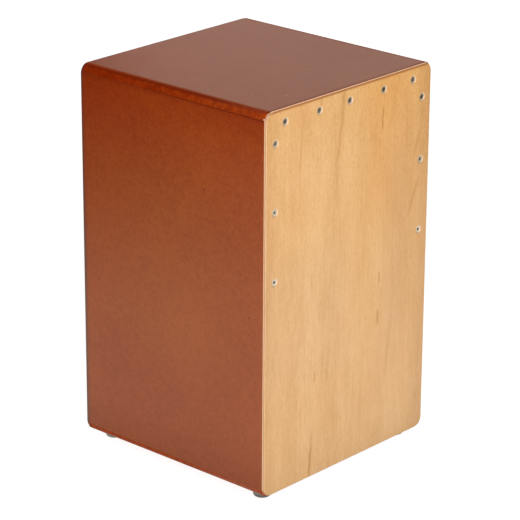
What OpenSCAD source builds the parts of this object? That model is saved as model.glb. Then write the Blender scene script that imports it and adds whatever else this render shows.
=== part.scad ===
// Cajon: a box drum that its player sits on.
// The tapa faces -Y, +X is to the right of someone facing it, +Z is up and the floor is z = 0.
// All sizes are in millimetres.

/* [Case] */
// Width over the side panels
case_w = 299; // [260:1:340]
// Depth over the tapa and the back panel
case_d = 303; // [260:1:340]
// Height of the case without its feet
case_h = 480; // [420:1:520]
// Thickness of the top, bottom and side panels
panel_t = 9; // [9:0.5:14]
// Radius of the four long edges
edge_r = 9; // [6:0.5:16]
// Radius of the corners of the tapa and the back panel
corner_r = 12; // [9:0.5:18]
// Side of the square battens that the plates are fixed to
batten = 15; // [14:0.5:20]
// Depth of the V groove along the joints of the top panel
joint_groove = 0.4; // [0.2:0.05:1]

/* [Tapa] */
// Thickness of the playing plate
tapa_t = 3; // [2.8:0.1:5]
// Chamfer round the face of the playing plate
tapa_ease = 1.2; // [0.2:0.1:1.5]
// Distances of the top screws from the middle of the case
top_places = [-116.5, -56.5, -2, 60, 115]; // [-118:0.5:118]
// Distances of the left-hand screws below the top of the case
left_drops = [39.5, 122.5, 208.5]; // [36:0.5:380]
// Distances of the right-hand screws below the top of the case
right_drops = [41.5, 121, 212]; // [36:0.5:380]

/* [Back panel] */
// Thickness of the back panel
back_t = 5; // [4:0.5:8]
// Straight edge left beside the rounded edge of the back panel
back_flat = 0.5; // [0.3:0.1:2]
// Chamfer round the sound hole
hole_ease = 1; // [0.4:0.1:1.5]
// Diameter of the sound hole
sound_hole_d = 115; // [90:1:140]
// Height of the sound hole's centre above the bottom of the case
sound_hole_z = 290; // [200:1:330]
// Distances of the top and bottom screws from the middle of the case
back_places = [-92, 0, 92]; // [-115:1:115]
// Distances of the side screws below the top of the case
back_drops = [160, 320]; // [40:1:380]

/* [Wood screws] */
// Diameter of the countersink at the face of the plate
sink_d = 9.5; // [8:0.1:10]
// Depth of the screw head under the face of the plate
head_sink = 0.9; // [0.4:0.1:1]
// Diameter of the screw shank
screw_d = 3.5; // [3:0.1:4]
// Length of the wood screws
screw_l = 15; // [12:0.5:15]
// Length of the screw's point
screw_tip = 4; // [2:0.5:6]

/* [Feet] */
// Diameter of a rubber foot
foot_d = 22; // [18:0.5:26]
// Height of a rubber foot
foot_h = 11; // [10:0.5:16]
// Distance of a foot's axis from the tapa's face or the back panel's face
foot_inset = 24; // [20:0.5:32]
// Distance of the front feet's axes from the sides of the case
front_foot_inset = 24; // [20:0.5:32]
// Distance of the rear feet's axes from the sides of the case
rear_foot_inset = 27; // [20:0.5:32]
// Radius of a foot's lower rim
foot_round = 3.5; // [1:0.5:4]
// Depth of the screw recess under a foot
foot_recess_h = 6.5; // [5:0.5:8]
// Diameter of a foot's screw
foot_screw_d = 4; // [3.5:0.1:4.5]
// Diameter of the foot screw's head
foot_head_d = 7.6; // [7:0.1:8]
// Height of the foot screw's head
foot_head_h = 2.6; // [2:0.1:3]
// Diameter of a foot's washer
foot_washer_d = 9.8; // [9:0.1:10.5]
// Thickness of a foot's washer
foot_washer_t = 1; // [0.8:0.1:1.5]
// Wood left over the tip of a foot's screw
foot_skin = 2; // [1:0.5:4]

/* [Strings] */
// Distance of each string pair from the middle of the case
snare_x = 62; // [50:1:80]
// Distance between the strings of a pair at the hanger
string_top_gap = 52; // [40:1:54]
// Distance between the strings of a pair at the yoke
string_low_gap = 28; // [24:1:40]
// Diameter of a string
string_d = 1; // [0.6:0.1:1.2]
// Gap between a string and the tapa at the hanger
string_gap = 0.4; // [0.3:0.1:1]
// Distance of the strings in front of the bolt at the yoke
string_set = 1.5; // [0:0.5:2]
// Radius of a string's ball end
ball_r = 2; // [1.8:0.1:2.4]
// Radius of the groove round a ball end
ball_groove_r = 1.4; // [1.2:0.1:1.6]

/* [String hangers] */
// Thickness of a hanger plate
hanger_t = 2; // [1.5:0.1:3]
// Length of a hanger plate past its strings
hanger_end = 6; // [4:0.5:8]
// Radius of a hanger plate's corners
hanger_r = 2; // [1:0.5:3]
// Distance of the hanger screws from the middle of the plate
hanger_screw_x = 10; // [8:1:16]
// Diameter of a hanger screw
hanger_screw_d = 3; // [2.5:0.1:3.5]
// Diameter of a hanger screw's head
hanger_head_d = 5.6; // [5:0.1:6]
// Height of a hanger screw's head
hanger_head_h = 2; // [1.5:0.1:2.5]
// Wood left between a hanger screw and the tapa screws over it
hanger_skin = 0.75; // [0.5:0.05:2]

/* [Yokes] */
// Depth of a yoke
yoke_d = 12; // [10:0.5:13]
// Height of a yoke
yoke_h = 8; // [6:0.5:10]
// Radius of a yoke's corners
yoke_r = 4; // [2:0.5:5]
// Travel of a yoke each way from its middle place
yoke_travel = 6; // [4:0.5:8]
// Least gap between the ferrules and the batten under them
yoke_gap = 3; // [2:0.5:6]
// Length of a yoke past its guide pins
yoke_end = 7; // [4:0.5:10]
// Diameter of a ferrule
ferrule_d = 4.4; // [4:0.1:5]
// Height of a ferrule
ferrule_h = 6; // [4:0.5:8]
// Diameter of a guide pin
pin_d = 4; // [3:0.5:5]
// Gap between a guide pin and the ferrule beside it
pin_gap = 2.8; // [2:0.1:5]
// Wood left under a guide pin
pin_seat = 3; // [2:0.5:6]
// Length of the guide pins over the top of the travel
pin_spare = 8; // [4:1:12]

/* [Tension bolts] */
// Diameter of the bolt
bolt_d = 6; // [5:1:6]
// Diameter of the bolt's head
bolt_head_d = 10; // [8.5:0.5:10.5]
// Height of the bolt's head
bolt_head_h = 6; // [5:0.5:6]
// Width of the hex socket across its flats
bolt_key = 5; // [4:1:5]
// Depth of the hex socket
bolt_key_h = 3.3; // [2.5:0.1:3.5]
// Length of the bolt over the top of the yoke's travel
bolt_spare = 12; // [6:1:16]
// Diameter of the washer
bolt_washer_d = 12; // [11:0.5:13]
// Thickness of the washer
bolt_washer_t = 1.5; // [1:0.1:2]

/* [Fits] */
// Radial play of a screw or a guide pin in the piece that it is fixed to
screw_play = 0.05; // [0.02:0.01:0.2]
// Radial play of the tension bolt in the yoke
thread_play = 0.08; // [0.02:0.01:0.1]
// Radial play of the guide pins in the yoke
guide_play = 0.1; // [0.05:0.01:0.1]
// Radial play of a string in its slot, its ferrule and the yoke
string_play = 0.5; // [0.4:0.05:0.7]
// Radial play of a bolt or a foot's screw in what it passes through
through_play = 0.3; // [0.2:0.05:0.5]
// Room round the washers in their recesses
washer_play = 0.3; // [0.2:0.05:1]
// Room round a ball end in its pocket
ball_play = 1.2; // [0.5:0.1:1.5]
// Room between the hanger plates and the tapa
hanger_play = 0.2; // [0.1:0.05:0.3]
// Chamfer on the ends of the bolts and pins
end_ease = 0.6; // [0.3:0.1:0.8]

/* [Hidden] */
$fn = 64;
eps = 1;

// Levels of the case
case_z = foot_h;
top_z = case_z + case_h;
floor_z = case_z + panel_t;
ceil_z = top_z - panel_t;

// Depths of the case, from the tapa's face to the back panel's face
face_y = -case_d/2;
shell_y0 = face_y + tapa_t;
rear_y = case_d/2;
shell_y1 = rear_y - back_t;

// Radius of the rounded edge of the back panel
back_r = back_t - back_flat;

// Side face at the joints of the top panel, which the long edges may round off
joint_x = case_w/2 - edge_r + sqrt(pow(edge_r, 2) - pow(max(edge_r - panel_t, 0), 2));

// Inside width and the middle of the battens
in_w = case_w - 2*panel_t;
rail_inset = panel_t + batten/2;
rail_x = case_w/2 - rail_inset;
rail_y = shell_y0 + batten/2;

// Wood screws: the head cone follows the countersink
head_r = sink_d/2 - head_sink - screw_play;

// Screw places as [x, z]
tapa_points = concat(
    [for (x = top_places) [x, top_z - rail_inset]],
    [for (drop = left_drops) [-rail_x, top_z - drop]],
    [for (drop = right_drops) [rail_x, top_z - drop]]
);
back_points = concat(
    [for (x = back_places, z = [case_z + rail_inset, top_z - rail_inset]) [x, z]],
    [for (side = [-1, 1], drop = back_drops) [side*rail_x, top_z - drop]]
);
foot_points = [for (x = [-1, 1], y = [-1, 1]) foot_point(x, y)];

// Place of the foot on side x and end y
function foot_point(x, y) = [
    x*(case_w/2 - (y < 0 ? front_foot_inset : rear_foot_inset)),
    y*(case_d/2 - foot_inset)
];

// Feet: the screw bites into the bottom panel
foot_recess_d = foot_washer_d + 2*washer_play;
foot_seat_z = foot_recess_h - foot_washer_t;
foot_tip_z = floor_z - foot_skin;

// Yokes, guide pins and tension bolts: a bolt's head is flush with the bottom panel
yoke_z = floor_z + batten + yoke_gap + yoke_travel + ferrule_h;
yoke_top_z = yoke_z + yoke_h + yoke_travel;
pin_x = string_low_gap/2 + ferrule_d/2 + pin_gap + pin_d/2;
pin_z = floor_z + pin_seat;
pin_l = yoke_top_z + pin_spare - pin_z;
yoke_w = 2*(pin_x + pin_d/2 + yoke_end);
bolt_seat_z = case_z + bolt_head_h;
bolt_l = yoke_top_z + bolt_spare - bolt_seat_z;
counterbore_d = bolt_washer_d + 2*washer_play;

// Hanger plates under the front top batten, and the pockets over them for the ball ends
hanger_top_z = ceil_z - batten;
hanger_w = string_top_gap + 2*hanger_end;
hanger_d = batten - 2*hanger_play;
hanger_grip = batten/2 - screw_d/2 - hanger_skin;
pocket_w = 2*(ball_r + ball_play);
pocket_h = 2*ball_r + ball_play;
pocket_d = string_gap + string_d/2 + ball_groove_r + ball_r + ball_play;

// Ends of the strings
string_top_y = shell_y0 + string_gap + string_d/2;
string_top_z = hanger_top_z + ball_r;
string_low_y = rail_y - string_set;
string_low_z = yoke_z - ferrule_h;

// Shapes shared by several pieces

module rounded_rect(w, h, r) {
    square([w - 2*r, h], center = true);
    for (side = [-1, 1])
        translate([side*(w/2 - r/2), 0])
            square([r, h - 2*r], center = true);
    for (x = [-1, 1], y = [-1, 1])
        intersection() {
            translate([x*(w/2 - r), y*(h/2 - r)])
                circle(r);
            translate([x*(w/2 - r/2), y*(h/2 - r/2)])
                square(r, center = true);
        }
}

// Runs a profile drawn in x and z from y0 to y1
module along_y(y0, y1) {
    translate([0, y1, 0])
        rotate([90, 0, 0])
            linear_extrude(y1 - y0)
                children();
}

// Outside of the case between the tapa and the back panel
module shell() {
    along_y(shell_y0, shell_y1)
        translate([0, case_z + case_h/2])
            rounded_rect(case_w, case_h, edge_r);
}

// Profiles of a plate's edge: the face is at y = 0 and the rim at x = corner_r
module chamfered_edge(t, ease) {
    polygon([[0, 0], [corner_r - ease, 0], [corner_r, ease], [corner_r, t], [0, t]]);
}

module rounded_edge(t, r) {
    square([corner_r - r, t]);
    translate([corner_r - r, r])
        square([r, t - r]);
    intersection() {
        translate([corner_r - r, r])
            circle(r);
        translate([corner_r - r, 0])
            square(r);
    }
}

// Plate with the outline of the case, facing -Y: the child is the profile of its edge
module outlined_plate(t) {
    w = case_w/2 - corner_r;
    h = case_h/2 - corner_r;
    translate([-w, 0, -h])
        cube([2*w, t, 2*h]);
    for (side = [0, 1])
        mirror([side, 0, 0])
            translate([w, 0, -h])
                linear_extrude(2*h)
                    children();
    for (end = [0, 1])
        mirror([0, 0, end])
            translate([w, 0, h])
                rotate([0, -90, 0])
                    linear_extrude(2*w)
                        children();
    for (side = [0, 1], end = [0, 1])
        mirror([side, 0, 0])
            mirror([0, 0, end])
                translate([w, 0, -h])
                    rotate([-90, 0, 0])
                        rotate_extrude(angle = 90)
                            children();
}

// Cross recess in the top of a screw head at z = 0
module cross_recess(d) {
    for (turn = [0, 90])
        rotate(turn)
            cube([d*0.54, d*0.13, d*0.34], center = true);
}

// Countersunk wood screw: the head's flat top is at z = 0 and the tip points down
module wood_screw() {
    r = screw_d/2;
    difference() {
        rotate_extrude()
            polygon([
                [0, 0], [head_r, 0], [r, r - head_r],
                [r, screw_tip - screw_l], [0, -screw_l]
            ]);
        cross_recess(2*head_r);
    }
}

// Countersunk hole for a wood screw: the face of the plate is at z = 0
module screw_hole() {
    r = screw_d/2 + screw_play;
    rotate_extrude()
        polygon([
            [0, eps], [sink_d/2 + eps, eps], [r, r - sink_d/2],
            [r, -head_sink - screw_l], [0, -head_sink - screw_l]
        ]);
}

// Pan-head screw: the underside of the head is at z = 0 and the shank points up
module pan_screw(head_d, head_h, d, l) {
    difference() {
        rotate_extrude()
            polygon([
                [0, -head_h], [head_d*0.32, -head_h], [head_d/2, -head_h*0.45], [head_d/2, 0],
                [d/2, 0], [d/2, l - d], [0, l]
            ]);
        mirror([0, 0, 1])
            translate([0, 0, head_h])
                cross_recess(head_d);
    }
}

module washer(d, hole_d, t) {
    linear_extrude(t)
        difference() {
            circle(d = d);
            circle(d = hole_d);
        }
}

// Straight rod between two points
module rod(from, to, d) {
    v = to - from;
    l = norm(v);
    translate(from)
        rotate([0, acos(v[2]/l), atan2(v[1], v[0])])
            cylinder(d = d, h = l);
}

module tapa_holes() {
    for (p = tapa_points)
        translate([p[0], face_y, p[1]])
            rotate([90, 0, 0])
                screw_hole();
}

module back_holes() {
    for (p = back_points)
        translate([p[0], rear_y, p[1]])
            rotate([-90, 0, 0])
                screw_hole();
}

// Places the children at both tension bolts
module at_bolts() {
    for (side = [-1, 1])
        translate([side*snare_x, rail_y, 0])
            children();
}

// Case panels: the top and the bottom lap over the sides

module joint_grooves() {
    side = joint_groove*sqrt(2);
    for (x = [-joint_x, joint_x])
        translate([x, 0, ceil_z])
            rotate([0, 45, 0])
                cube([side, case_d, side], center = true);
}

module top_panel() {
    color("sienna")
        difference() {
            intersection() {
                shell();
                translate([-case_w/2, shell_y0, ceil_z])
                    cube([case_w, shell_y1 - shell_y0, panel_t]);
            }
            joint_grooves();
        }
}

module bottom_panel() {
    color("sienna")
        difference() {
            intersection() {
                shell();
                translate([-case_w/2, shell_y0, case_z])
                    cube([case_w, shell_y1 - shell_y0, panel_t]);
            }
            at_bolts() {
                translate([0, 0, case_z - eps])
                    cylinder(d = bolt_d + 2*through_play, h = panel_t + 2*eps);
                translate([0, 0, case_z - eps])
                    cylinder(d = counterbore_d, h = bolt_head_h + bolt_washer_t + eps);
            }
            for (p = foot_points)
                translate([p[0], p[1], case_z - eps])
                    cylinder(d = foot_screw_d + 2*screw_play, h = foot_tip_z - case_z + eps);
        }
}

module side_panel(side) {
    color("sienna")
        difference() {
            intersection() {
                shell();
                translate([side*(case_w/2 - panel_t/2), (shell_y0 + shell_y1)/2, case_z + case_h/2])
                    cube([panel_t, shell_y1 - shell_y0, case_h - 2*panel_t], center = true);
            }
            joint_grooves();
        }
}

module left_side_panel() {
    side_panel(-1);
}

module right_side_panel() {
    side_panel(1);
}

// Front and back plates

module tapa() {
    color("burlywood")
        difference() {
            translate([0, face_y, case_z + case_h/2])
                outlined_plate(tapa_t)
                    chamfered_edge(tapa_t, tapa_ease);
            tapa_holes();
        }
}

module back_panel() {
    hole_r = sound_hole_d/2;
    color("sienna")
        difference() {
            translate([0, rear_y, case_z + case_h/2])
                mirror([0, 1, 0])
                    outlined_plate(back_t)
                        rounded_edge(back_t, back_r);
            translate([0, rear_y, case_z + sound_hole_z])
                rotate([-90, 0, 0])
                    rotate_extrude()
                        polygon([
                            [0, eps], [hole_r + hole_ease + eps, eps], [hole_r, -hole_ease],
                            [hole_r, -back_t - eps], [0, -back_t - eps]
                        ]);
            back_holes();
        }
}

module tapa_screws() {
    color("silver")
        for (p = tapa_points)
            translate([p[0], face_y + head_sink, p[1]])
                rotate([90, 0, 0])
                    wood_screw();
}

module back_screws() {
    color("silver")
        for (p = back_points)
            translate([p[0], rear_y - head_sink, p[1]])
                rotate([-90, 0, 0])
                    wood_screw();
}

// Battens behind the plates

module cross_batten(y0, z0) {
    translate([-in_w/2, y0, z0])
        cube([in_w, batten, batten]);
}

module post_batten(side, y0) {
    translate([side*(in_w/2 - batten/2), y0 + batten/2, case_z + case_h/2])
        cube([batten, batten, case_h - 2*panel_t - 2*batten], center = true);
}

module front_top_batten() {
    color("tan")
        difference() {
            cross_batten(shell_y0, hanger_top_z);
            tapa_holes();
            for (side = [-1, 1], end = [-1, 1])
                translate([side*snare_x + end*string_top_gap/2, shell_y0, hanger_top_z])
                    translate([-pocket_w/2, -eps, -eps])
                        cube([pocket_w, pocket_d + eps, pocket_h + eps]);
            for (side = [-1, 1], end = [-1, 1])
                translate([side*snare_x + end*hanger_screw_x, rail_y, hanger_top_z - eps])
                    cylinder(d = hanger_screw_d + 2*screw_play, h = hanger_grip + eps);
        }
}

module front_bottom_batten() {
    color("tan")
        difference() {
            cross_batten(shell_y0, floor_z);
            at_bolts() {
                translate([0, 0, floor_z - eps])
                    cylinder(d = bolt_d + 2*through_play, h = batten + 2*eps);
                for (end = [-1, 1])
                    translate([end*pin_x, 0, pin_z])
                        cylinder(d = pin_d + 2*screw_play, h = batten);
            }
        }
}

module front_left_batten() {
    color("tan")
        difference() {
            post_batten(-1, shell_y0);
            tapa_holes();
        }
}

module front_right_batten() {
    color("tan")
        difference() {
            post_batten(1, shell_y0);
            tapa_holes();
        }
}

module back_top_batten() {
    color("tan")
        difference() {
            cross_batten(shell_y1 - batten, ceil_z - batten);
            back_holes();
        }
}

module back_bottom_batten() {
    color("tan")
        difference() {
            cross_batten(shell_y1 - batten, floor_z);
            back_holes();
        }
}

module back_left_batten() {
    color("tan")
        difference() {
            post_batten(-1, shell_y1 - batten);
            back_holes();
        }
}

module back_right_batten() {
    color("tan")
        difference() {
            post_batten(1, shell_y1 - batten);
            back_holes();
        }
}

// Three-sided brace in a long inside corner of the case
module brace(side, z, up) {
    color("tan")
        along_y(shell_y0 + batten, shell_y1 - batten)
            translate([side*in_w/2, z])
                polygon([[0, 0], [-side*batten, 0], [0, up*batten]]);
}

module top_left_brace() {
    brace(-1, ceil_z, -1);
}

module top_right_brace() {
    brace(1, ceil_z, -1);
}

module bottom_left_brace() {
    brace(-1, floor_z, 1);
}

module bottom_right_brace() {
    brace(1, floor_z, 1);
}

// Feet

module foot(x, y) {
    r = foot_d/2;
    color("dimgray")
        translate(foot_point(x, y))
            rotate_extrude()
                difference() {
                    square([r, foot_h]);
                    difference() {
                        translate([r - foot_round, -eps])
                            square([foot_round + eps, foot_round + eps]);
                        translate([r - foot_round, foot_round])
                            circle(foot_round);
                    }
                    translate([0, -eps])
                        square([foot_recess_d/2, foot_recess_h + eps]);
                    square([foot_screw_d/2 + through_play, foot_h + eps]);
                }
}

module front_left_foot() {
    foot(-1, -1);
}

module front_right_foot() {
    foot(1, -1);
}

module back_left_foot() {
    foot(-1, 1);
}

module back_right_foot() {
    foot(1, 1);
}

module foot_washers() {
    color("silver")
        for (p = foot_points)
            translate([p[0], p[1], foot_seat_z])
                washer(foot_washer_d, foot_screw_d + 2*through_play, foot_washer_t);
}

module foot_screws() {
    color("silver")
        for (p = foot_points)
            translate([p[0], p[1], foot_seat_z])
                pan_screw(foot_head_d, foot_head_h, foot_screw_d, foot_tip_z - foot_seat_z);
}

// String snare behind the tapa

module hanger(side) {
    slot_r = string_d/2 + string_play;
    color("gainsboro")
        difference() {
            translate([side*snare_x, rail_y, hanger_top_z - hanger_t])
                linear_extrude(hanger_t)
                    rounded_rect(hanger_w, hanger_d, hanger_r);
            for (end = [-1, 1])
                translate([side*snare_x + end*string_top_gap/2, string_top_y, hanger_top_z - hanger_t/2]) {
                    cylinder(r = slot_r, h = hanger_t + eps, center = true);
                    translate([0, -slot_r, 0])
                        cube([2*slot_r, 2*slot_r, hanger_t + eps], center = true);
                }
            for (end = [-1, 1])
                translate([side*snare_x + end*hanger_screw_x, rail_y, hanger_top_z - hanger_t - eps])
                    cylinder(d = hanger_screw_d + 2*screw_play, h = hanger_t + 2*eps);
        }
}

module left_hanger() {
    hanger(-1);
}

module right_hanger() {
    hanger(1);
}

module hanger_screws(side) {
    color("silver")
        for (end = [-1, 1])
            translate([side*snare_x + end*hanger_screw_x, rail_y, hanger_top_z - hanger_t])
                pan_screw(hanger_head_d, hanger_head_h, hanger_screw_d, hanger_t + hanger_grip);
}

module left_hanger_screws() {
    hanger_screws(-1);
}

module right_hanger_screws() {
    hanger_screws(1);
}

// String with its ball end: out is 1 for the outer string of a pair and -1 for the inner one
module string(side, out) {
    top = [side*(snare_x + out*string_top_gap/2), string_top_y, string_top_z];
    low = [side*(snare_x + out*string_low_gap/2), string_low_y, string_low_z];
    color("goldenrod") {
        rod(low, top, string_d);
        translate(top + [-ball_r, ball_groove_r, 0])
            rotate([0, 90, 0])
                rotate_extrude()
                    difference() {
                        square([ball_r, 2*ball_r]);
                        translate([2*ball_groove_r, ball_r])
                            circle(ball_groove_r);
                    }
    }
}

module left_outer_string() {
    string(-1, 1);
}

module left_inner_string() {
    string(-1, -1);
}

module right_inner_string() {
    string(1, -1);
}

module right_outer_string() {
    string(1, 1);
}

module yoke(side) {
    color("darkkhaki")
        translate([side*snare_x, rail_y, yoke_z])
            difference() {
                linear_extrude(yoke_h)
                    rounded_rect(yoke_w, yoke_d, yoke_r);
                translate([0, 0, -eps])
                    cylinder(r = bolt_d/2 + thread_play, h = yoke_h + 2*eps);
                for (end = [-1, 1]) {
                    translate([end*pin_x, 0, -eps])
                        cylinder(r = pin_d/2 + guide_play, h = yoke_h + 2*eps);
                    translate([end*string_low_gap/2, -string_set, -eps])
                        cylinder(r = string_d/2 + string_play, h = yoke_h + 2*eps);
                }
            }
}

module left_yoke() {
    yoke(-1);
}

module right_yoke() {
    yoke(1);
}

module ferrules(side) {
    color("goldenrod")
        for (end = [-1, 1])
            translate([side*snare_x + end*string_low_gap/2, string_low_y, yoke_z - ferrule_h])
                washer(ferrule_d, string_d + 2*string_play, ferrule_h);
}

module left_ferrules() {
    ferrules(-1);
}

module right_ferrules() {
    ferrules(1);
}

module guide_pins(side) {
    color("silver")
        for (end = [-1, 1])
            translate([side*snare_x + end*pin_x, rail_y, pin_z])
                rotate_extrude()
                    polygon([
                        [0, 0], [pin_d/2, 0], [pin_d/2, pin_l - end_ease],
                        [pin_d/2 - end_ease, pin_l], [0, pin_l]
                    ]);
}

module left_guide_pins() {
    guide_pins(-1);
}

module right_guide_pins() {
    guide_pins(1);
}

// Hex-socket bolt, turned with a key from under the case
module tension_bolt(side) {
    color("dimgray")
        translate([side*snare_x, rail_y, bolt_seat_z])
            difference() {
                rotate_extrude()
                    polygon([
                        [0, -bolt_head_h], [bolt_head_d/2 - end_ease, -bolt_head_h],
                        [bolt_head_d/2, end_ease - bolt_head_h], [bolt_head_d/2, 0], [bolt_d/2, 0],
                        [bolt_d/2, bolt_l - end_ease], [bolt_d/2 - end_ease, bolt_l], [0, bolt_l]
                    ]);
                translate([0, 0, -bolt_head_h - eps])
                    cylinder(d = bolt_key/cos(30), h = bolt_key_h + eps, $fn = 6);
            }
}

module left_tension_bolt() {
    tension_bolt(-1);
}

module right_tension_bolt() {
    tension_bolt(1);
}

module bolt_washer(side) {
    color("silver")
        translate([side*snare_x, rail_y, bolt_seat_z])
            washer(bolt_washer_d, bolt_d + 2*through_play, bolt_washer_t);
}

module left_bolt_washer() {
    bolt_washer(-1);
}

module right_bolt_washer() {
    bolt_washer(1);
}

top_panel();
bottom_panel();
left_side_panel();
right_side_panel();
tapa();
back_panel();
front_top_batten();
front_bottom_batten();
front_left_batten();
front_right_batten();
back_top_batten();
back_bottom_batten();
back_left_batten();
back_right_batten();
top_left_brace();
top_right_brace();
bottom_left_brace();
bottom_right_brace();
tapa_screws();
back_screws();
front_left_foot();
front_right_foot();
back_left_foot();
back_right_foot();
foot_washers();
foot_screws();
left_hanger();
right_hanger();
left_hanger_screws();
right_hanger_screws();
left_outer_string();
left_inner_string();
right_inner_string();
right_outer_string();
left_yoke();
right_yoke();
left_ferrules();
right_ferrules();
left_guide_pins();
right_guide_pins();
left_tension_bolt();
right_tension_bolt();
left_bolt_washer();
right_bolt_washer();
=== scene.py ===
"""Looks of the cajon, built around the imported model. All lengths are in metres."""

import math

import bpy
from mathutils import Matrix, Vector


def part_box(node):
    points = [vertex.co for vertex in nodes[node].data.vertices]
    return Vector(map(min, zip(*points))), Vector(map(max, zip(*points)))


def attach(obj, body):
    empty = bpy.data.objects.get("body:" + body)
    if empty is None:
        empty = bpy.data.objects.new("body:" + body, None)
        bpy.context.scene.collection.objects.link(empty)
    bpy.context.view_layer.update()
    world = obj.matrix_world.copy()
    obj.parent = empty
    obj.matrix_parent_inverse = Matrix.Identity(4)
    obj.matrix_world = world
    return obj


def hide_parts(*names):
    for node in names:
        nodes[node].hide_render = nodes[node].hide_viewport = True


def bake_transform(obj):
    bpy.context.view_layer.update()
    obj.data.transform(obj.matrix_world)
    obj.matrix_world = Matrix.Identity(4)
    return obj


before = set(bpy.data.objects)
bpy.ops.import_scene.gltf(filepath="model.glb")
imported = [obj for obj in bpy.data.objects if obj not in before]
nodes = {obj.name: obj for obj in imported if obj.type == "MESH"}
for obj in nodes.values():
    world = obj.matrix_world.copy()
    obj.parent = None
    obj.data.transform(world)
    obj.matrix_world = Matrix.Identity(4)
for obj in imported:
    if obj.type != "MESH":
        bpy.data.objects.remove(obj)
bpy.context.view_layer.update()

# Levels of the case, taken from the frame
CEIL_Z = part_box("top_panel")[0].z
TOP_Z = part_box("top_panel")[1].z
BASE_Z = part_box("bottom_panel")[0].z
FACE_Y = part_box("tapa")[0].y
PLATE_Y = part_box("tapa")[1].y
REAR_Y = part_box("back_panel")[1].y
HALF_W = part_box("tapa")[1].x

# Corner radius of the tapa
CORNER_R = 0.012

# Points of a screw head's face lie within HEAD_FLAT of one level and within HEAD_D of each other
HEAD_FLAT = 0.0001
HEAD_D = 0.009


def screw_heads(name, side, depth=0.0):
    """Middles of a node's screw heads, this deep under their faces.

    The side is -1 if the heads face the front and 1 if they face the back.
    """
    points = [nodes[name].matrix_world @ v.co for v in nodes[name].data.vertices]
    level = max(side * p.y for p in points)
    groups = []
    for point in (p for p in points if side * p.y > level - HEAD_FLAT):
        group = next((g for g in groups if (g[0] - point).length < HEAD_D), None)
        if group:
            group.append(point)
        else:
            groups.append([point])
    middles = []
    for group in groups:
        across, up = [p.x for p in group], [p.z for p in group]
        middles.append(((min(across) + max(across)) / 2, side * (level - depth), (min(up) + max(up)) / 2))
    return middles


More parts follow.
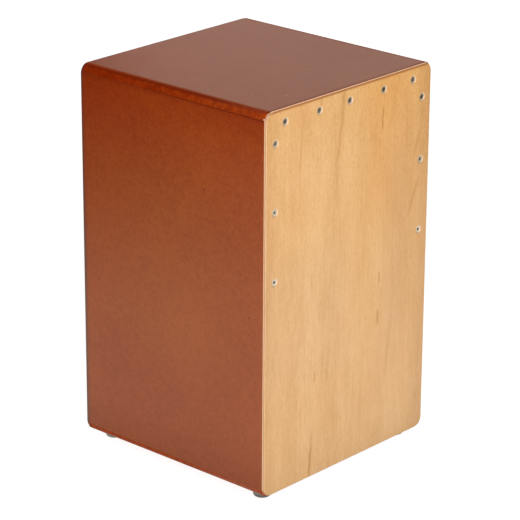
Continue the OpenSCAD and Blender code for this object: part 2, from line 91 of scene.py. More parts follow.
class Graph:
    """One node material, drawn in the coordinates of the part."""

    # How far a streak strays from its line, and the share of its length over which each end fades
    WANDER = 0.004
    FADE = 0.3

    def __init__(self, name):
        self.material = bpy.data.materials.new(name)
        self.material.use_nodes = True
        self.tree = self.material.node_tree
        self.tree.nodes.clear()
        self.output = self.node("OutputMaterial")
        self.shader = self.node("BsdfPrincipled")
        self.tree.links.new(self.shader.outputs[0], self.output.inputs["Surface"])
        self.place = self.node("TexCoord").outputs["Object"]
        self.axes = self.node("SeparateXYZ")
        self.tree.links.new(self.place, self.axes.inputs[0])

    def node(self, kind, **settings):
        """Adds a shader node with these settings."""
        made = self.tree.nodes.new("ShaderNode" + kind)
        for key, value in settings.items():
            setattr(made, key, value)
        return made

    def feed(self, socket, value):
        """Links the socket to another one, or gives it a constant."""
        if isinstance(value, bpy.types.NodeSocket):
            self.tree.links.new(value, socket)
        else:
            socket.default_value = value

    def put(self, **values):
        """Feeds the shader's own sockets."""
        for key, value in values.items():
            self.feed(self.shader.inputs[key.replace("_", " ")], value)

    def show_through(self, factor):
        """Makes the surface clear where the factor is 1."""
        clear = self.node("MixShader")
        self.feed(clear.inputs[0], factor)
        self.tree.links.new(self.shader.outputs[0], clear.inputs[1])
        self.tree.links.new(self.node("BsdfTransparent").outputs[0], clear.inputs[2])
        self.tree.links.new(clear.outputs[0], self.output.inputs["Surface"])

    def axis(self, letter):
        """One of the coordinates X, Y and Z."""
        return self.axes.outputs[letter]

    def calc(self, operation, *values):
        """Result of one operation of the Math node."""
        made = self.node("Math", operation=operation)
        for socket, value in zip(made.inputs, values):
            self.feed(socket, value)
        return made.outputs[0]

    def product(self, *values):
        """Product of all the values."""
        result = values[0]
        for value in values[1:]:
            result = self.calc("MULTIPLY", result, value)
        return result

    def total(self, *parts):
        """Sum of (weight, value) pairs."""
        result = None
        for weight, value in parts:
            term = self.calc("MULTIPLY", value, weight)
            result = term if result is None else self.calc("ADD", result, term)
        return result

    def length(self, a, b):
        """Length of the vector that has the parts a and b."""
        squares = [(1, self.calc("POWER", part, 2.0)) for part in (a, b)]
        return self.calc("SQRT", self.total(*squares))

    def beyond(self, value, limit):
        """How far the value lies outside the range from -limit to limit."""
        return self.calc("MAXIMUM", self.calc("SUBTRACT", self.calc("ABSOLUTE", value), limit), 0.0)

    def stretched(self, stretch):
        """The part's coordinates, each times its own factor."""
        made = self.node("Mapping")
        made.inputs["Scale"].default_value = stretch
        self.feed(made.inputs["Vector"], self.place)
        return made.outputs[0]

    def noise(self, scale, detail=3, roughness=0.5, stretch=(1, 1, 1), distortion=0):
        """Random value near 0.5 that changes smoothly over the part."""
        made = self.node("TexNoise")
        self.feed(made.inputs["Vector"], self.stretched(stretch))
        made.inputs["Scale"].default_value = scale
        made.inputs["Detail"].default_value = detail
        made.inputs["Roughness"].default_value = roughness
        made.inputs["Distortion"].default_value = distortion
        return made.outputs[0]

    def cells(self, scale, stretch=(1, 1, 1)):
        """Distance to the nearest of scattered points, and a random number for that point."""
        made = self.node("TexVoronoi")
        self.feed(made.inputs["Vector"], self.stretched(stretch))
        made.inputs["Scale"].default_value = scale
        split = self.node("SeparateColor")
        self.feed(split.inputs[0], made.outputs["Color"])
        return made.outputs["Distance"], split.outputs[0]

    def span(self, value, low, high, to_low=0.0, to_high=1.0):
        """Runs smoothly from to_low at low to to_high at high."""
        made = self.node("MapRange", interpolation_type="SMOOTHSTEP")
        for key, v in zip(("Value", "From Min", "From Max", "To Min", "To Max"),
                          (value, low, high, to_low, to_high)):
            self.feed(made.inputs[key], v)
        return made.outputs[0]

    def band(self, value, low, high, soft):
        """1 between low and high, and 0 outside them."""
        return self.product(self.span(value, low - soft, low), self.span(value, high, high + soft, 1, 0))

    def distance(self, *points):
        """Distance to the nearest of the points."""
        result = None
        for point in points:
            made = self.node("VectorMath", operation="DISTANCE")
            self.feed(made.inputs[0], self.place)
            made.inputs[1].default_value = point
            found = made.outputs["Value"]
            result = found if result is None else self.calc("MINIMUM", result, found)
        return result

    def streak(self, high, low, width):
        """1 along a thin line on the front between two points in x and z, and 0 beside it."""
        slope = (high[0] - low[0]) / (high[1] - low[1])
        wander = self.calc("SUBTRACT", self.noise(1, detail=2, stretch=(0, 0, 70)), 0.5)
        rise = self.calc("SUBTRACT", self.axis("Z"), low[1])
        line = self.total((slope, rise), (self.WANDER, wander), (1, low[0]))
        aside = self.calc("ABSOLUTE", self.calc("SUBTRACT", self.axis("X"), line))
        taper = (high[1] - low[1]) * self.FADE
        return self.product(
            self.span(aside, 0.0, width, 1, 0),
            self.band(self.axis("Z"), low[1] + taper, high[1] - taper, taper),
        )

    def ramp(self, value, *stops):
        """Colour of the value on a ramp of (position, colour) stops."""
        made = self.node("ValToRGB")
        while len(made.color_ramp.elements) < len(stops):
            made.color_ramp.elements.new(0.5)
        for element, (position, colour) in zip(made.color_ramp.elements, stops):
            element.position = position
            element.color = (*colour, 1)
        self.feed(made.inputs[0], value)
        return made.outputs[0]

    def mix(self, factor, a, b, blend="MIX"):
        """Colour a where the factor is 0, and b where it is 1."""
        made = self.node("Mix", data_type="RGBA", blend_type=blend)
        for socket, value in zip((made.inputs["Factor"], made.inputs[6], made.inputs[7]), (factor, a, b)):
            self.feed(socket, (*value, 1) if isinstance(value, tuple) else value)
        return made.outputs[2]

    def tint(self, factor, colour, by):
        """The colour, multiplied by another one where the factor is 1."""
        return self.mix(factor, colour, by, blend="MULTIPLY")

    def bump(self, height, strength, distance):
        """Roughens the surface by a height."""
        made = self.node("Bump")
        made.inputs["Strength"].default_value = strength
        made.inputs["Distance"].default_value = distance
        self.feed(made.inputs["Height"], height)
        self.feed(self.shader.inputs["Normal"], made.outputs[0])


# Materials

def stained_board(name, lapped=False):
    """Fibreboard under red-brown stain and satin lacquer, with painted light and shade on its outer faces;
    a lapped panel's cut edges are streaked.
    """
    g = Graph(name)
    x, y, z = g.axis("X"), g.axis("Y"), g.axis("Z")
    cloud = g.noise(7, detail=4)
    mottle = g.noise(170, detail=4, roughness=0.6)
    fibre = g.noise(900, detail=2)
    if lapped:
        tone = g.total((0.14, cloud), (0.20, mottle), (0.32, fibre), (0.34, 0.5))
    else:
        tone = g.total((0.24, cloud), (0.36, mottle), (0.40, fibre))
        speckle = g.product(g.calc("SUBTRACT", fibre, 0.5), g.span(z, 0.15, 0.45, 0.0, 0.34))
        tone = g.calc("ADD", tone, speckle)
    colour = g.ramp(
        tone,
        (0.36, (0.290, 0.036, 0.0028)),
        (0.5, (0.360, 0.053, 0.0050)),
        (0.64, (0.425, 0.072, 0.0080)),
    )
    reach = g.calc("ABSOLUTE", x)
    outside = g.span(reach, HALF_W - 0.007, HALF_W - 0.004)
    # A lapped panel's cut edges: streaks, painted shade towards the rear and painted shade on the shoulder
    # of the round-over; painted light across the flat face and painted shade behind the tapa
    if lapped:
        flame = g.noise(1, detail=5, roughness=0.65, stretch=(90, 150, 110), distortion=1.2)
        colour = g.mix(
            outside,
            colour,
            g.ramp(
                flame,
                (0.38, (0.300, 0.034, 0.0022)),
                (0.5, (0.385, 0.052, 0.0035)),
                (0.62, (0.455, 0.072, 0.0060)),
            ),
        )
        # Painted shade on the cut edge, growing towards the rear
        painted_rear_shade_on_cut = g.product(outside, g.span(y, -0.12, 0.04), g.span(z, CEIL_Z, CEIL_Z + 0.001))
        colour = g.tint(painted_rear_shade_on_cut, colour, (0.86, 0.70, 0.70))
        # Painted shade along the shoulder where the flat face turns into the round-over
        painted_shoulder_shade = g.product(
            g.span(reach, HALF_W - 0.0085, HALF_W - 0.007),
            g.band(z, TOP_Z - 0.0021, TOP_Z - 0.0004, 0.0006),
            g.span(y, -0.14, -0.06, 0.4, 0.8),
            g.span(y, -0.06, 0.14, 1.0, 0.7),
        )
        colour = g.mix(painted_shoulder_shade, colour, (0.20, 0.019, 0.0015))
        inside = g.calc("SUBTRACT", 1.0, outside)
        # Painted light across the flat face: brighter and redder towards the rear, duller at the front
        seat = g.mix(g.span(y, -0.15, 0.15), (0.94, 0.97, 1.0), (1.12, 1.03, 1.0))
        colour = g.tint(inside, colour, seat)
        # Painted shade on the flat face just behind the tapa
        painted_shade_behind_tapa = g.product(inside, g.span(y, PLATE_Y, PLATE_Y + 0.0030, 0.6, 0.0))
        colour = g.mix(painted_shade_behind_tapa, colour, (0.14, 0.020, 0.004))
    # The dark line of the butt joint, and painted shade under it
    seam = g.product(
        outside,
        g.band(z, CEIL_Z - 0.0011, CEIL_Z - 0.0006, 0.0003),
        g.span(y, -0.02, 0.10, 0.68, 0.15),
    )
    colour = g.mix(seam, colour, (0.10, 0.009, 0.002))
    # Painted shade in a soft band under the joint line
    painted_shade_under_seam = g.product(
        outside,
        g.span(z, CEIL_Z - 0.009, CEIL_Z - 0.001),
        g.span(z, CEIL_Z - 0.0004, CEIL_Z, 1, 0),
    )
    colour = g.tint(painted_shade_under_seam, colour, (0.90, 0.82, 0.75))
    # Painted light and shade on the outer faces, from the top down, and the paler lip behind the tapa
    # Painted shade at the top and towards the rear, and on the upper round-over
    painted_shade_top_rear = g.product(g.span(y, -0.06, 0.14), g.span(z, 0.355, 0.485))
    deep = g.product(outside, g.calc("MAXIMUM", painted_shade_top_rear, g.span(z, 0.44, 0.475, 0, 0.6)), 0.9)
    colour = g.tint(deep, colour, (0.83, 0.58, 0.53))
    # Painted light: warmer in the middle band, and a paler pool at the middle of each side
    middle = g.product(outside, g.band(z, 0.20, 0.36, 0.10))
    colour = g.tint(middle, colour, (1.0, 1.12, 1.0))
    painted_light_spot = g.product(middle, g.band(y, -0.02, 0.02, 0.10))
    colour = g.tint(painted_light_spot, colour, (1.02, 1.11, 1.0))
    # Painted light, less red, lower down
    low = g.product(outside, g.span(z, 0.10, 0.22, 1, 0))
    colour = g.tint(low, colour, (0.955, 1.0, 0.97))
    # Painted shade near the foot, where the floor by the case lies in shadow
    foot = g.product(outside, g.span(z, BASE_Z + 0.010, BASE_Z + 0.055, 1, 0))
    colour = g.tint(foot, colour, (0.93, 0.92, 0.92))
    # Painted highlight along the bottom round-over, where the floor's light bounces
    painted_bounce_highlight = g.product(outside, g.band(z, BASE_Z + 0.0004, BASE_Z + 0.0070, 0.0012))
    colour = g.tint(painted_bounce_highlight, colour, (1.24, 1.02, 0.85))
    lip = g.product(outside, g.span(y, PLATE_Y, PLATE_Y + 0.008, 1, 0))
    colour = g.tint(lip, colour, (1.06, 1.16, 1.08))
    # Painted shade on the rounded rear edge, darker and greyer
    ends = g.product(g.span(z, TOP_Z - 0.004, TOP_Z - 0.001), g.span(y, REAR_Y - 0.006, REAR_Y - 0.004))
    painted_rear_edge_shade = g.product(
        g.calc("MAXIMUM", outside, ends),
        g.span(y, REAR_Y - 0.011, REAR_Y - 0.002),
        g.span(z, 0.25, 0.45, 0.95, 0.55),
    )
    colour = g.mix(painted_rear_edge_shade, colour, (0.125, 0.038, 0.029))
    # Dark pits, pale specks and one chip
    distance, pick = g.cells(150)
    spot = g.span(distance, 0.14, 0.24, 1, 0)
    pit = g.product(
        spot,
        g.band(pick, 0.50, 0.507, 0.001),
        g.span(cloud, 0.40, 0.60, 0.3, 0.75),
        g.span(z, 0.40, 0.44, 1.0, 0.35),
    )
    colour = g.mix(pit, colour, (0.12, 0.020, 0.004))
    speck = g.product(spot, g.band(pick, 0.30, 0.303, 0.001), 0.8)
    colour = g.mix(speck, colour, (0.62, 0.33, 0.17))
    chip = g.span(g.distance((-HALF_W, PLATE_Y + 0.0006, CEIL_Z + 0.0012)), 0.0006, 0.0018, 1, 0)
    colour = g.mix(chip, colour, (0.72, 0.50, 0.40))
    # Gloss, less of it in pits and on the edges
    dull = g.span(y, -0.13, 0.0, 0.1, 0.8) if lapped else g.span(z, 0.42, 0.475, 0.0, 0.4)
    gloss = g.product(g.span(pit, 0.0, 0.7, 0.5, 0.2), g.calc("SUBTRACT", 1.0, g.product(outside, dull)))
    if lapped:
        roll = g.band(reach, HALF_W - 0.0100, HALF_W - 0.0070, 0.0030)
        gloss = g.product(
            gloss,
            g.span(y, PLATE_Y, PLATE_Y + 0.007, 0.2, 1.0),
            g.span(roll, 0.0, 1.0, 1.0, 0.15),
        )
    g.put(
        Base_Color=colour,
        Roughness=g.span(g.noise(60, detail=4), 0.3, 0.7, 0.295, 0.315),
        IOR=1.6,
        Specular_IOR_Level=gloss,
    )
    g.bump(g.total((0.5, g.noise(140, detail=3)), (0.5, fibre)), 0.02, 0.0004)
    return g.material


def veneer(name):
    """Light veneer with upright grain on a three-layer plate, with painted shade on its right rim and
    painted shadows by the screw heads.
    """
    g = Graph(name)
    x, y, z = g.axis("X"), g.axis("Y"), g.axis("Z")
    broad = g.noise(1, detail=3, stretch=(16, 16, 1.6), distortion=0.4)
    bands = g.noise(1, detail=4, roughness=0.6, stretch=(95, 95, 2.2), distortion=0.2)
    patch = g.noise(1, detail=3, stretch=(45, 45, 20))
    grain = g.noise(1, detail=4, roughness=0.65, stretch=(420, 420, 24))
    pores = g.noise(1, detail=2, roughness=0.6, stretch=(1100, 1100, 200))
    tone = g.total(
        (0.21, broad), (0.06, bands), (0.12, patch), (0.20, grain), (0.26, pores), (0.15, 0.5),
    )
    crisp = g.product(g.span(z, 0.32, 0.42, 0.0, 0.16), g.span(x, -0.10, 0.06, 0.5, 1.0))
    tone = g.calc("ADD", tone, g.product(g.calc("SUBTRACT", pores, 0.5), crisp))
    face = g.ramp(
        tone,
        (0.38, (0.66, 0.350, 0.138)),
        (0.5, (0.79, 0.455, 0.205)),
        (0.62, (0.87, 0.545, 0.280)),
    )
    # Broad tints
    blush = g.span(g.noise(14, detail=3, stretch=(1, 1, 0.4)), 0.45, 0.65, 0.0, 0.6)
    face = g.tint(blush, face, (1.0, 0.965, 0.95))
    amber = g.product(g.span(x, -0.05, 0.08), g.span(z, 0.24, 0.46))
    face = g.tint(amber, face, (1.0, 0.960, 0.82))
    ash = g.product(g.span(x, -0.03, 0.03, 1, 0), g.band(z, 0.18, 0.27, 0.07))
    face = g.tint(ash, face, (0.98, 1.005, 1.09))
    face = g.tint(g.span(z, 0.08, 0.28, 1, 0), face, (0.99, 1.0, 1.06))
    face = g.tint(g.span(z, 0.40, 0.48), face, (0.985, 0.965, 0.90))
    for shade, high, low, width in (
        ((1.04, 1.06, 1.09), (-0.052, 0.520), (-0.066, 0.060), 0.052),
        ((0.97, 0.91, 0.82), (0.064, 0.560), (0.046, 0.280), 0.050),
        ((0.91, 0.87, 0.88), (0.108, 0.480), (0.082, 0.080), 0.048),
    ):
        face = g.tint(g.streak(high, low, width), face, shade)
    # Short dashes all over, and single dark marks along the grain
    dash, pick = g.cells(1, stretch=(140, 140, 16))
    dash = g.product(g.span(dash, 0.05, 0.12, 1, 0), g.span(pick, 0.86, 0.9), 0.35)
    face = g.mix(dash, face, (0.42, 0.20, 0.075))
    for strength, high, low, width in (
        (0.38, (-0.0120, 0.500), (-0.0176, 0.436), 0.0058),
        (0.32, (-0.0168, 0.456), (-0.0232, 0.398), 0.0036),
        (0.16, (-0.0226, 0.428), (-0.0256, 0.340), 0.0036),
        (0.50, (0.0596, 0.459), (0.0588, 0.419), 0.0022),
        (0.45, (-0.0522, 0.500), (-0.0554, 0.468), 0.0024),
        (0.20, (-0.0857, 0.484), (-0.0910, 0.396), 0.0030),
        (0.22, (0.1350, 0.418), (0.1180, 0.372), 0.0050),
        (0.28, (0.1310, 0.352), (0.1100, 0.298), 0.0055),
        (0.18, (0.0830, 0.190), (0.0715, 0.084), 0.0055),
        (0.50, (0.0582, 0.246), (0.0580, 0.226), 0.0022),
        (0.46, (0.0570, 0.197), (0.0575, 0.172), 0.0046),
        (0.40, (-0.0645, 0.060), (-0.0682, 0.000), 0.0036),
        (0.26, (-0.0632, 0.084), (-0.0682, 0.000), 0.0040),
        (0.50, (-0.0785, 0.155), (-0.0787, 0.137), 0.0014),
        (0.50, (-0.0600, 0.150), (-0.0602, 0.130), 0.0016),
    ):
        mark = g.product(g.streak(high, low, width), g.span(grain, 0.35, 0.6, 0.7, 1.15), strength)
        face = g.mix(mark, face, (0.41, 0.135, 0.002))
    # Borders of the face, with painted shade on the right rim, and what shows round the screw heads, with
    # a painted shadow beside each
    edge_brown = (0.39, 0.130, 0.028)
    left_verge = g.span(x, -HALF_W + 0.003, -HALF_W + 0.026, 1, 0)
    face = g.tint(left_verge, face, (0.925, 0.895, 0.865))
    right_verge = g.span(x, HALF_W - 0.034, HALF_W - 0.004)
    face = g.tint(right_verge, face, (0.86, 0.81, 0.79))
    # Painted shade on the last millimetre of the right edge, which turns away from the lamps
    painted_right_rim_shade = g.span(x, HALF_W - 0.0016, HALF_W - 0.0006, 0.0, 0.6)
    face = g.mix(painted_right_rim_shade, face, (0.45, 0.33, 0.22))
    brow = g.span(z, TOP_Z - 0.0056, TOP_Z - 0.0014, 0.0, 0.96)
    face = g.mix(g.calc("POWER", brow, 2.0), face, edge_brown)
    heads = [(p[0], FACE_Y, p[2]) for p in screw_heads("tapa_screws", -1)]
    # A pale ring round each screw hole
    pale_ring = g.span(g.distance(*heads), 0.0048, 0.0060, 0.45, 0.0)
    face = g.mix(pale_ring, face, (0.88, 0.68, 0.50))
    # Painted shadow in a crescent below and left of each screw head
    painted_shadow_points = [(p[0] - 0.0009, p[1], p[2] - 0.0011) for p in heads]
    face = g.mix(g.span(g.distance(*painted_shadow_points), 0.0042, 0.0054, 0.5, 0.0), face, (0.40, 0.20, 0.08))
    # Layers of the cut edge; along the top it is stained at both faces
    layer = g.noise(1, detail=3, stretch=(40, 1500, 40))
    cut = g.ramp(
        layer,
        (0.35, (0.74, 0.42, 0.24)),
        (0.65, (0.88, 0.57, 0.36)),
    )
    core = g.band(y, FACE_Y + 0.0007, FACE_Y + 0.0013, 0.0002)
    cut = g.mix(g.product(core, 0.75), cut, (0.42, 0.21, 0.11))
    rear_layer = g.span(y, PLATE_Y - 0.0016, PLATE_Y - 0.0010, 0.0, 0.8)
    cut = g.mix(rear_layer, cut, (1.0, 0.60, 0.37))
    upper = g.span(z, TOP_Z - 0.0016, TOP_Z - 0.0010)
    past_face = g.span(y, FACE_Y + 0.0002, FACE_Y + 0.0007)
    at_case = g.span(y, PLATE_Y - 0.0015, PLATE_Y - 0.0008)
    upper_cut = g.mix(past_face, edge_brown, (0.87, 0.51, 0.31))
    upper_cut = g.mix(at_case, upper_cut, (0.20, 0.040, 0.008))
    cut = g.mix(upper, cut, upper_cut)
    # How far a point lies past the middles of the round corners, to tell the cut edge from the rear face
    height = g.calc("SUBTRACT", z, (TOP_Z + BASE_Z) / 2)
    past_x = g.beyond(x, HALF_W - CORNER_R)
    past_z = g.beyond(height, (TOP_Z - BASE_Z) / 2 - CORNER_R)
    rim = g.length(past_x, past_z)
    turn = g.product(g.span(past_x, 0.001, 0.005), g.span(past_z, 0.001, 0.005))
    cut = g.tint(turn, cut, (0.74, 0.66, 0.60))
    reverse = g.ramp(
        tone,
        (0.38, (0.50, 0.280, 0.125)),
        (0.5, (0.63, 0.385, 0.190)),
        (0.62, (0.72, 0.470, 0.255)),
    )
    inner = g.mix(g.span(y, PLATE_Y - 0.0006, PLATE_Y - 0.0002), (0.72, 0.54, 0.39), reverse)
    cut = g.mix(g.span(rim, CORNER_R - 0.003, CORNER_R - 0.002), inner, cut)
    colour = g.mix(g.span(y, FACE_Y + 0.0001, FACE_Y + 0.0004), face, cut)
    g.put(Base_Color=colour, Roughness=g.span(bands, 0.3, 0.7, 0.40, 0.50), IOR=1.48)
    g.bump(g.total((0.6, grain), (0.4, pores)), 0.08, 0.0003)
    return g.material


def softwood(name, along):
    """Bare planed softwood with its grain along the given axis."""
    g = Graph(name)
    fine, coarse = [240] * 3, [60] * 3
    fine["XYZ".index(along)] = 6
    coarse["XYZ".index(along)] = 1.5
    rings = g.noise(1, detail=3, stretch=coarse, distortion=0.6)
    grain = g.noise(1, detail=4, roughness=0.65, stretch=fine)
    tone = g.total((0.6, rings), (0.4, grain))
    g.put(
        Base_Color=g.ramp(
            tone,
            (0.35, (0.42, 0.23, 0.09)),
            (0.5, (0.60, 0.38, 0.18)),
            (0.65, (0.70, 0.49, 0.26)),
        ),
        Roughness=g.span(grain, 0.3, 0.7, 0.6, 0.75),
    )
    g.bump(grain, 0.15, 0.0005)
    return g.material


def metal(name, dark, light, low, high, scale=900, stretch=(1, 1, 1), heads=()):
    """Metal with fine marks: its colour runs from dark to light and its roughness from low to high.

    The recesses in the middles of screw heads are darkened with painted shade.
    """
    g = Graph(name)
    marks = g.noise(scale, detail=4, roughness=0.65, stretch=stretch)
    blot = g.noise(scale / 6, detail=2)
    tone = g.total((0.6, marks), (0.4, blot))
    colour = g.ramp(tone, (0.35, dark), (0.65, light))
    if heads:
        # Painted shade in the recess of each screw head
        recess = g.span(g.distance(*heads), 0.0013, 0.0022, 0.94, 0.0)
        colour = g.mix(recess, colour, (0.03, 0.025, 0.023))
    g.put(
        Base_Color=colour,
        Metallic=1.0,
        Roughness=g.span(tone, 0.35, 0.65, low, high),
    )
    g.bump(marks, 0.06, 0.0002)
    return g.material


def rubber(name):
    """Grey rubber, darker at the floor from painted shade on its rim, and paler towards the rear from
    painted light.
    """
    g = Graph(name)
    grit = g.noise(700, detail=4, roughness=0.6)
    dust = g.noise(90, detail=3)
    tone = g.total((0.5, grit), (0.5, dust))
    side = g.ramp(tone, (0.35, (0.33, 0.290, 0.320)), (0.65, (0.47, 0.420, 0.460)))
    rim = g.ramp(tone, (0.35, (0.16, 0.146, 0.162)), (0.65, (0.25, 0.230, 0.255)))
    # Painted light and shade: the side paler, the rim at the floor darker
    colour = g.mix(g.span(g.axis("Z"), 0.003, 0.007), rim, side)
    g.put(
        # Painted light on the rear feet, paler towards the rear
        Base_Color=g.tint(g.span(g.axis("Y"), -0.05, 0.10), colour, (1.75, 1.95, 1.95)),
        Roughness=g.span(tone, 0.35, 0.65, 0.26, 0.36),
    )
    g.bump(grit, 0.08, 0.0003)
    return g.material


def dress(material, *names):
    """Gives CAD nodes a material in place of their own."""
    for name in names:
        mesh = nodes[name].data
        mesh.materials.clear()
        mesh.materials.append(material)


dress(stained_board("stain"), "left_side_panel", "right_side_panel", "back_panel")
dress(stained_board("stain_lapped", lapped=True), "top_panel", "bottom_panel")
dress(veneer("veneer"), "tapa")
dress(
    softwood("softwood_x", "X"),
    "front_top_batten", "front_bottom_batten", "back_top_batten", "back_bottom_batten",
)
dress(
    softwood("softwood_y", "Y"),
    "top_left_brace", "top_right_brace", "bottom_left_brace", "bottom_right_brace",
)
dress(
    softwood("softwood_z", "Z"),
    "front_left_batten", "front_right_batten", "back_left_batten", "back_right_batten",
)

# Depth in a screw head from which the painted shade of its recess spreads
RECESS_DEPTH = 0.001
zinc = ((0.74, 0.65, 0.61), (0.92, 0.81, 0.76), 0.20, 0.30)
dress(metal("zinc_front", *zinc, heads=screw_heads("tapa_screws", -1, RECESS_DEPTH)), "tapa_screws")
dress(metal("zinc_back", *zinc, heads=screw_heads("back_screws", 1, RECESS_DEPTH)), "back_screws")
dress(metal("zinc", *zinc), "foot_screws", "left_hanger_screws", "right_hanger_screws")
dress(
    metal("plate", (0.46, 0.47, 0.49), (0.66, 0.66, 0.67), 0.3, 0.5, stretch=(0.2, 1, 1)),
    "foot_washers", "left_hanger", "right_hanger", "left_guide_pins", "right_guide_pins",
    "left_bolt_washer", "right_bolt_washer",
)
dress(
    metal("brass", (0.50, 0.32, 0.10), (0.68, 0.47, 0.18), 0.25, 0.4, stretch=(0.15, 1, 1)),
    "left_yoke", "right_yoke", "left_ferrules", "right_ferrules",
)
dress(rubber("rubber"), "front_left_foot", "front_right_foot", "back_left_foot", "back_right_foot")


# Wound strings and threaded bolts in place of the plain ones

# Edges sharper than this stay sharp
SHARP_ANGLE = math.radians(40)

# String: radius over and between the turns of the winding, and the length of half a turn
STRING_SIDES = 8
STRING_R = 0.0005
GROOVE_R = 0.00041
HALF_TURN = 0.0005

# Ball end: radius of its waist and of its flanges, and the rings to each side of its middle
BALL_SIDES = 20
WAIST_R = 0.0014
BALL_R = 0.0020
BALL_STEP = 0.0005
BALL_HALF_STEPS = 4

# Places of the strings at the hanger and at the yoke, measured from the bolt's axis
TOP_REACH = 0.026
LOW_REACH = 0.014

# Tension bolt: its head with a chamfer and a hex socket, and its thread
BOLT_SIDES = 36
BOLT_HEAD_R = 0.005
BOLT_HEAD_H = 0.006
BOLT_CHAMFER = 0.0006
SOCKET_HALF_W = 0.0025
SOCKET_DEPTH = 0.0033
CORE_R = 0.0024
TIP_CHAMFER = 0.0004
CREST_R = 0.00297
PITCH = 0.001
TURN_STEPS = 16
THREAD_START = 0.0002
THREAD_PROFILE = ((CORE_R, 0.0), (CREST_R, 0.42 * PITCH), (CREST_R, 0.56 * PITCH), (CORE_R, 0.98 * PITCH))


def mesh_object(name, points, faces, material):
    """Adds a mesh to the scene, smooth but for its sharp edges."""
    mesh = bpy.data.meshes.new(name)
    mesh.from_pydata(points, [], faces)
    mesh.validate()
    mesh.materials.append(material)
    mesh.shade_smooth()
    mesh.set_sharp_from_angle(angle=SHARP_ANGLE)
    made = bpy.data.objects.new(name, mesh)
    bpy.context.scene.collection.objects.link(made)
    return made


def skin(rings, points, faces):
    """Adds a surface over rings of points, with a flat cap at both ends."""
    count = len(rings[0])
    first = len(points)
    for ring in rings:
        points.extend(ring)
    for i in range(len(rings) - 1):
        for j in range(count):
            a, b = first + i * count + j, first + i * count + (j + 1) % count
            faces.append((a, b, b + count, a + count))
    faces.append(tuple(range(first + count - 1, first - 1, -1)))
    faces.append(tuple(range(len(points) - count, len(points))))


def circle(centre, radius, across, up, count):
    """Ring of points in the plane of two directions."""
    angles = [2 * math.pi * i / count for i in range(count)]
    return [centre + radius * (math.cos(a) * across + math.sin(a) * up) for a in angles]


def wound_string(name, low, top, material):
    """Ribbed string from low to top, with a spool-shaped ball end at the top."""
    points, faces = [], []
    along = (top - low).normalized()
    across = Vector((0, 1, 0)).cross(along).normalized()
    up = along.cross(across)
    steps = int((top - low).length / HALF_TURN)
    rings = []
    for i in range(steps + 1):
        radius = STRING_R if i % 2 else GROOVE_R
        rings.append(circle(low.lerp(top, i / steps), radius, across, up, STRING_SIDES))
    skin(rings, points, faces)
    middle = top + Vector((0, WAIST_R, 0))
    rings = []
    for i in range(-BALL_HALF_STEPS, BALL_HALF_STEPS + 1):
        x = i * BALL_STEP
        radius = min(2 * WAIST_R - math.sqrt(max(WAIST_R ** 2 - x * x, 0.0)), BALL_R)
        centre = middle + Vector((x, 0, 0))
        rings.append(circle(centre, radius, Vector((0, 1, 0)), Vector((0, 0, 1)), BALL_SIDES))
    skin(rings, points, faces)
    return mesh_object(name, points, faces, material)


def threaded_bolt(name, place, seat, end, material):
    """Hex-socket bolt with its head under the seat and its thread over it."""
    points, faces = [], []
    head = seat - BOLT_HEAD_H

    def polar(radius, angle, z):
        return Vector((place[0] + radius * math.cos(angle), place[1] + radius * math.sin(angle), z))

    def ring(radius, z):
        return [polar(radius, 2 * math.pi * i / BOLT_SIDES, z) for i in range(BOLT_SIDES)]

    def socket(z):
        rim = []
        for i in range(BOLT_SIDES):
            a = 2 * math.pi * i / BOLT_SIDES
            off_flat = (a + math.pi / 6) % (math.pi / 3) - math.pi / 6
            rim.append(polar(SOCKET_HALF_W / math.cos(off_flat), a, z))
        return rim

    skin(
        [
            socket(head + SOCKET_DEPTH),
            socket(head),
            ring(BOLT_HEAD_R - BOLT_CHAMFER, head),
            ring(BOLT_HEAD_R, head + BOLT_CHAMFER),
            ring(BOLT_HEAD_R, seat),
            ring(CORE_R, seat),
            ring(CORE_R, end - TIP_CHAMFER),
            ring(CORE_R - TIP_CHAMFER, end),
        ],
        points,
        faces,
    )
    turns = int((end - seat) / PITCH) - 1
    first = len(points)
    width = len(THREAD_PROFILE)
    for i in range(turns * TURN_STEPS + 1):
        a = 2 * math.pi * i / TURN_STEPS
        z = seat + THREAD_START + PITCH * i / TURN_STEPS
        points.extend(polar(radius, a, z + rise) for radius, rise in THREAD_PROFILE)
    for i in range(turns * TURN_STEPS):
        for j in range(width - 1):
            a = first + width * i + j
            faces.append((a, a + width, a + width + 1, a + 1))
    return mesh_object(name, points, faces, material)


bronze = metal("bronze", (0.42, 0.24, 0.11), (0.62, 0.40, 0.20), 0.28, 0.42)
black_oxide = metal("black_oxide", (0.03, 0.03, 0.035), (0.09, 0.09, 0.095), 0.35, 0.5)
ferrule_low, ferrule_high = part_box("left_ferrules")
top_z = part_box("left_hanger")[1].z + BALL_R
top_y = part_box("left_outer_string")[0].y + STRING_R
low_y = (ferrule_low.y + ferrule_high.y) / 2
for side, sign in (("left", -1), ("right", 1)):
    bolt_low, bolt_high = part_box(side + "_tension_bolt")
    axis = (bolt_low + bolt_high) / 2
    for which, outward in (("outer", sign), ("inner", -sign)):
        node = f"{side}_{which}_string"
        low = Vector((axis.x + outward * LOW_REACH, low_y, ferrule_low.z))
        top = Vector((axis.x + outward * TOP_REACH, top_y, top_z))
        string = wound_string(node + "_wound", low, top, bronze)
        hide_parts(node)
        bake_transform(string)
    bolt = threaded_bolt(side + "_bolt_threaded", axis, bolt_low.z + BOLT_HEAD_H, bolt_high.z, black_oxide)
    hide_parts(side + "_tension_bolt")
    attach(bolt, side + "_bolt")


# Stage: floor, lights, world and camera

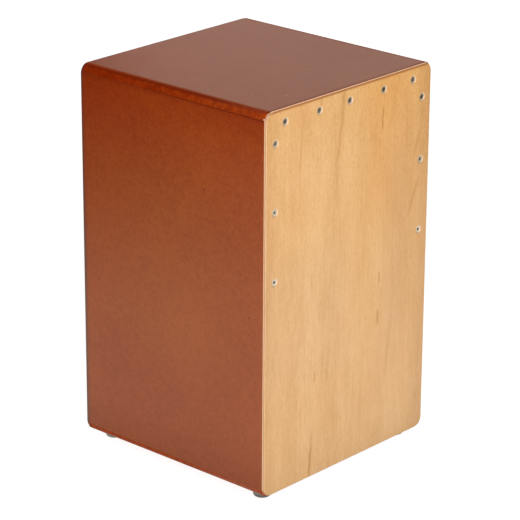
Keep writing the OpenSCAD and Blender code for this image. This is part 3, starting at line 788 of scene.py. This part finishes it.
# Camera, found by fitting the edges of the case to the photograph
CAMERA_PLACE = Vector((-2.25011, -2.03482, 1.36260))
AZIMUTH, ELEVATION, ROLL = (math.radians(a) for a in (-47.9986, 20.3691, 0.3562))
LENS_MM, SENSOR_MM = 180.65, 36

# Half the side of the floor, half that of the case's print on it, and the light from all round
FLOOR_REACH = 9
CASE_REACH = 0.13
AMBIENT = 0.04

back = Vector((
    math.sin(AZIMUTH) * math.cos(ELEVATION),
    -math.cos(AZIMUTH) * math.cos(ELEVATION),
    math.sin(ELEVATION),
))
right = Vector((math.cos(AZIMUTH), math.sin(AZIMUTH), 0))
up = back.cross(right)
camera = bpy.data.objects.new("camera", bpy.data.cameras.new("camera"))
camera.data.lens = LENS_MM
camera.data.sensor_width = SENSOR_MM
axes = (
    right * math.cos(ROLL) + up * math.sin(ROLL),
    up * math.cos(ROLL) - right * math.sin(ROLL),
    back,
)
camera.matrix_world = Matrix.Translation(CAMERA_PLACE) @ Matrix(axes).transposed().to_4x4()
bpy.context.scene.collection.objects.link(camera)
bpy.context.scene.camera = camera


def sheet_of_paper(name, reach):
    """Flat square on the floor, its sides along the camera's right and its line of sight."""
    sight = Vector((-back.x, -back.y, 0)).normalized()
    corners = [right * reach * i + sight * reach * j for i, j in ((-1, -1), (1, -1), (1, 1), (-1, 1))]
    mesh = bpy.data.meshes.new(name)
    mesh.from_pydata(corners, [], [(0, 1, 2, 3)])
    made = bpy.data.objects.new(name, mesh)
    bpy.context.scene.collection.objects.link(made)
    return made


def paper(name):
    """White paper: evenly white to the camera; to other rays a glow of painted bounce light, bright along
    the line of sight, darker towards the sides of the room and with a painted shadow round the case.
    """
    g = Graph(name)
    x, y = g.axis("X"), g.axis("Y")
    aside = g.total((right.x, x), (right.y, y))
    # Painted bounce light: a glowing strip along the line of sight, with a painted shadow round the case
    away = g.length(g.beyond(x, CASE_REACH), g.beyond(y, CASE_REACH))
    painted_bounce_glow = g.product(
        g.span(aside, -1.38, -0.62),
        g.span(aside, 1.25, 1.40, 1.0, 0.2),
        g.span(away, 0.0, 0.15, 0.5, 0.88),
    )
    seen = g.node("LightPath").outputs["Is Camera Ray"]
    g.show_through(g.node("NewGeometry").outputs["Backfacing"])
    g.put(
        Base_Color=g.mix(seen, (0, 0, 0), (0.4, 0.4, 0.4)),
        Roughness=0.8,
        Specular_IOR_Level=0.0,
        Emission_Color=g.mix(seen, (1, 0.96, 0.77), (1, 1, 1)),
        Emission_Strength=g.calc("MAXIMUM", painted_bounce_glow, g.product(seen, 0.9)),
    )
    return g.material


floor = sheet_of_paper("floor", FLOOR_REACH)
floor.data.materials.append(paper("paper"))


def softbox(name, place, aim, size, radiance, colour=(1, 1, 1)):
    """Soft area light that the camera doesn't see."""
    light = bpy.data.lights.new(name, "AREA")
    light.shape = "RECTANGLE"
    light.size, light.size_y = size
    light.energy = radiance * math.pi * size[0] * size[1]
    light.color = colour
    made = bpy.data.objects.new(name, light)
    made.location = place
    made.rotation_euler = (Vector(aim) - Vector(place)).to_track_quat("-Z", "Y").to_euler()
    made.visible_camera = False
    bpy.context.scene.collection.objects.link(made)


softbox("front_box", (-0.9, -2.0, 1.6), (0, 0, 0.3), (1.4, 1.4), 7.8)
softbox("left_box", (-2.6, -0.9, 1.1), (0, 0, 0.25), (1.5, 1.5), 3.1)
softbox("back_box", (2.452, 1.068, 1.2), (0, 0, 0.49), (2.6, 1.0), 0.72, (1, 0.99, 0.86))
softbox("top_box", (0.3, 0.4, 2.7), (0, 0, 0.49), (1.2, 1.2), 1.9)
softbox("rear_fill", (0.9, 2.4, 0.24), (0, 0, 0.24), (2.4, 0.4), 3.0)
softbox("right_fill", (2.4, 0.6, 0.24), (0, 0, 0.24), (1.2, 0.4), 3.0)

world = bpy.data.worlds.new("studio")
world.use_nodes = True
tree = world.node_tree
sky = tree.nodes["Background"]
sky.inputs["Color"].default_value = (1, 1, 1, 1)
path = tree.nodes.new("ShaderNodeLightPath")
level = tree.nodes.new("ShaderNodeMapRange")
level.inputs["To Min"].default_value = AMBIENT
level.inputs["To Max"].default_value = 1.0
tree.links.new(path.outputs["Is Camera Ray"], level.inputs["Value"])
tree.links.new(level.outputs[0], sky.inputs["Strength"])
bpy.context.scene.world = world
bpy.context.scene.view_settings.view_transform = "Standard"
